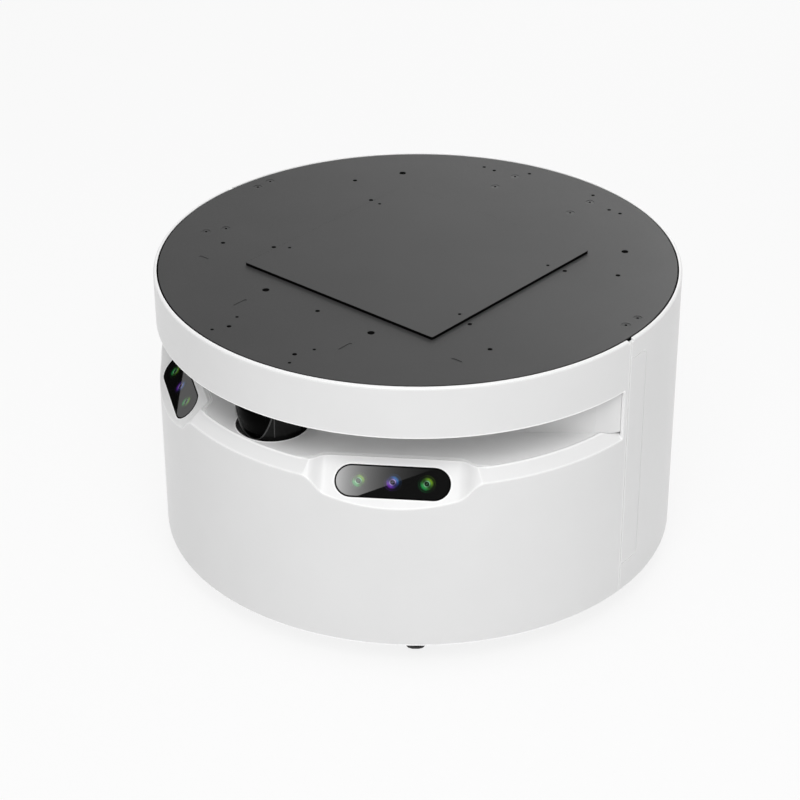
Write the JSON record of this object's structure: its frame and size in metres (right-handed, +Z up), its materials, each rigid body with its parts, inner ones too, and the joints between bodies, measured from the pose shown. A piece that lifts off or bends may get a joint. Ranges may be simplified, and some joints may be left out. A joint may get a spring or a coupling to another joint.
{
  "type": "autonomous mobile robot",
  "caption": "Low round mobile robot base: white drum shell with a front lidar slot and sloped camera recesses, flat dark drilled deck, sprung drive wheels and swivel casters.",
  "frame": {"origin": "centre of the footprint on the floor", "axes": "+Z up, -Y towards the front (lidar slot), +X towards the robot's left"},
  "size_m": [0.484, 0.484, 0.2865],
  "materials": {
    "white_shell": "satin moulded white",
    "dark_deck": "fine-grained dark grey",
    "bay_plastic": "satin white",
    "steel": "zinc-plated",
    "aluminium": "satin",
    "black_screw": "black oxide",
    "black_glass": "gloss black window",
    "lens_glass": "coated lens",
    "black_plastic": "matte",
    "gloss_black": "gloss",
    "tyre_rubber": "matte",
    "caster_rubber": "matte",
    "unit_black": "matte case",
    "battery_case": "matte case",
    "contact_brass": "bare",
    "button_metal": "satin"
  },
  "bodies": {
    "chassis": {"base_plate": "aluminium", "battery": "battery_case", "bay_hanger": "steel", "button_bezel": "black_plastic", "camera_cradle_left": "steel", "camera_cradle_right": "steel", "camera_housing_left": "black_plastic", "camera_housing_right": "black_plastic", "camera_lenses_left": "lens_glass", "camera_lenses_right": "lens_glass", "camera_window_left": "black_glass", "camera_window_right": "black_glass", "caster_front_left_mount": "steel", "caster_front_right_mount": "steel", "caster_rear_left_mount": "steel", "caster_rear_right_mount": "steel", "charge_contacts": "contact_brass", "contact_carrier": "black_plastic", "controller": "unit_black", "cover_screws": "black_screw", "deck_cover": "dark_deck", "deck_plate": "dark_deck", "deck_posts": "aluminium", "deck_screws": "black_screw", "drive_guides_left": "steel", "drive_guides_right": "steel", "drive_springs_left": "steel", "drive_springs_right": "steel", "front_shell": "white_shell", "lidar_base": "black_plastic", "lidar_bay": "bay_plastic", "lidar_pedestal": "steel", "motor_driver": "aluminium", "rear_shell": "white_shell", "rear_stay_left": "aluminium", "rear_stay_right": "aluminium", "side_stay_left": "steel", "side_stay_right": "steel"},
    "carriage_left": {"drive_carriage_left": "aluminium", "drive_axle_left": "steel"},
    "wheel_left": {"drive_tyre_left": "tyre_rubber", "drive_hub_left": "aluminium"},
    "carriage_right": {"drive_carriage_right": "aluminium", "drive_axle_right": "steel"},
    "wheel_right": {"drive_tyre_right": "tyre_rubber", "drive_hub_right": "aluminium"},
    "caster_front_left_swivel": {"caster_front_left_fork": "steel", "caster_front_left_axle": "steel"},
    "caster_front_left_roller": {"caster_front_left_wheel": "caster_rubber"},
    "caster_front_right_swivel": {"caster_front_right_fork": "steel", "caster_front_right_axle": "steel"},
    "caster_front_right_roller": {"caster_front_right_wheel": "caster_rubber"},
    "caster_rear_left_swivel": {"caster_rear_left_fork": "steel", "caster_rear_left_axle": "steel"},
    "caster_rear_left_roller": {"caster_rear_left_wheel": "caster_rubber"},
    "caster_rear_right_swivel": {"caster_rear_right_fork": "steel", "caster_rear_right_axle": "steel"},
    "caster_rear_right_roller": {"caster_rear_right_wheel": "caster_rubber"},
    "lidar_rotor": {"lidar_head": "gloss_black"},
    "button": {"power_button": "button_metal"}
  },
  "joints": [
    {"name": "suspension_left", "type": "slide", "parent": "chassis", "child": "carriage_left", "axis": [0, 0, 1], "range_m": [0, 0.008], "stiffness_N_per_m": 8000, "springref_m": -0.006, "deforming": ["drive_springs_left"]},
    {"name": "drive_spin_left", "type": "hinge", "parent": "carriage_left", "child": "wheel_left", "pos_m": [0.175, 0, 0.075], "axis": [1, 0, 0], "continuous": true},
    {"name": "suspension_right", "type": "slide", "parent": "chassis", "child": "carriage_right", "axis": [0, 0, 1], "range_m": [0, 0.008], "stiffness_N_per_m": 8000, "springref_m": -0.006, "deforming": ["drive_springs_right"]},
    {"name": "drive_spin_right", "type": "hinge", "parent": "carriage_right", "child": "wheel_right", "pos_m": [-0.175, 0, 0.075], "axis": [1, 0, 0], "continuous": true},
    {"name": "caster_front_left_turn", "type": "hinge", "parent": "chassis", "child": "caster_front_left_swivel", "pos_m": [0.12406, -0.14785, 0.06], "axis": [0, 0, 1], "continuous": true},
    {"name": "caster_front_left_roll", "type": "hinge", "parent": "caster_front_left_swivel", "child": "caster_front_left_roller", "pos_m": [0.13306, -0.15857, 0.025], "axis": [0.766, 0.6428, 0], "continuous": true},
    {"name": "caster_front_right_turn", "type": "hinge", "parent": "chassis", "child": "caster_front_right_swivel", "pos_m": [-0.12406, -0.14785, 0.06], "axis": [0, 0, 1], "continuous": true},
    {"name": "caster_front_right_roll", "type": "hinge", "parent": "caster_front_right_swivel", "child": "caster_front_right_roller", "pos_m": [-0.13306, -0.15857, 0.025], "axis": [0.766, -0.6428, 0], "continuous": true},
    {"name": "caster_rear_left_turn", "type": "hinge", "parent": "chassis", "child": "caster_rear_left_swivel", "pos_m": [0.12406, 0.14785, 0.06], "axis": [0, 0, 1], "continuous": true},
    {"name": "caster_rear_left_roll", "type": "hinge", "parent": "caster_rear_left_swivel", "child": "caster_rear_left_roller", "pos_m": [0.13306, 0.15857, 0.025], "axis": [-0.766, 0.6428, 0], "continuous": true},
    {"name": "caster_rear_right_turn", "type": "hinge", "parent": "chassis", "child": "caster_rear_right_swivel", "pos_m": [-0.12406, 0.14785, 0.06], "axis": [0, 0, 1], "continuous": true},
    {"name": "caster_rear_right_roll", "type": "hinge", "parent": "caster_rear_right_swivel", "child": "caster_rear_right_roller", "pos_m": [-0.13306, 0.15857, 0.025], "axis": [-0.766, -0.6428, 0], "continuous": true},
    {"name": "lidar_spin", "type": "hinge", "parent": "chassis", "child": "lidar_rotor", "pos_m": [0, -0.197, 0.2], "axis": [0, 0, 1], "continuous": true},
    {"name": "button_press", "type": "slide", "parent": "chassis", "child": "button", "axis": [0, -1, 0], "range_m": [0, 0.0015], "stiffness_N_per_m": 1500, "springref_m": -0.001}
  ]
}
